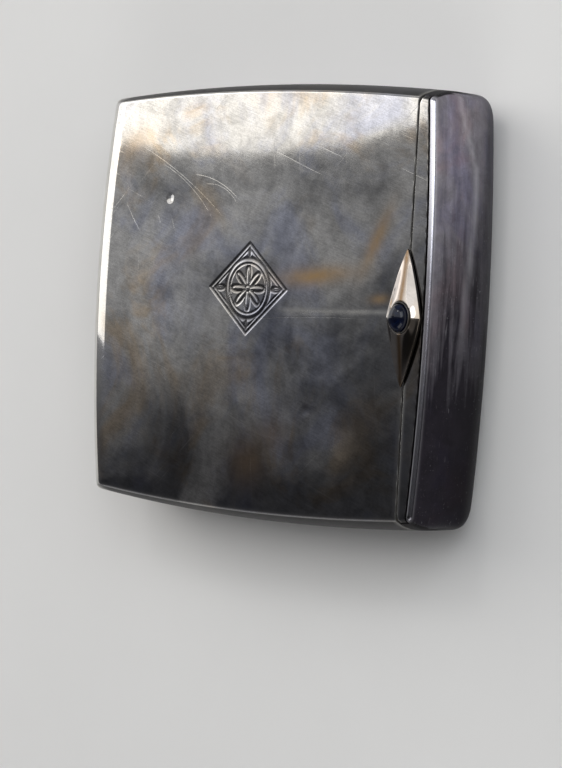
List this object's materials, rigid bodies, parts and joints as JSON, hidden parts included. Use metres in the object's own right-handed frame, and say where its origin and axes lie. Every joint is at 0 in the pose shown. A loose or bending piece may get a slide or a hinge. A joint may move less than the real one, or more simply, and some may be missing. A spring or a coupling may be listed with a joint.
{
  "type": "cigarette case",
  "caption": "Book-type metal pocket case with bowed sides, a rolled hinge spine, a fixed ledge and a cabochon thumbpiece on its hinged lid.",
  "frame": {"origin": "centre of the flat back that the closed case lies on", "axes": "+Z out of the front face, +X towards the thumbpiece, +Y along the hinge"},
  "size_m": [0.0943, 0.0844, 0.0255],
  "materials": {
    "silver": "tarnished silver with fine wear",
    "bright_silver": "bright polished silver",
    "gilt": "gilt inside, satin",
    "steel": "spring steel",
    "stone": "dark blue polished cabochon",
    "elastic": "woven elastic"
  },
  "bodies": {
    "base": {"base_shell": "silver", "front_ledge": "silver", "bezel_top": "gilt", "bezel_bottom": "gilt", "base_hinge_bearer": "gilt", "base_knuckle_1": "silver", "base_knuckle_2": "silver", "base_knuckle_3": "silver", "base_knuckle_4": "silver", "hinge_pin": "steel", "catch_spring": "steel", "spring_rivet_top": "steel", "spring_rivet_bottom": "steel", "retaining_band": "elastic", "band_staple_hinge_side": "gilt", "band_staple_end_side": "gilt"},
    "lid": {"lid_shell": "silver", "lid_lip": "gilt", "lid_hinge_bearer": "gilt", "lid_knuckle_1": "silver", "lid_knuckle_2": "silver", "lid_knuckle_3": "silver", "thumbpiece": "bright_silver", "stone_collet": "bright_silver", "cabochon": "stone"}
  },
  "joints": [
    {"name": "lid_hinge", "type": "hinge", "parent": "base", "child": "lid", "pos_m": [-0.04632, 0, 0.0138], "axis": [0, -1, 0], "range_deg": [0, 130]}
  ]
}
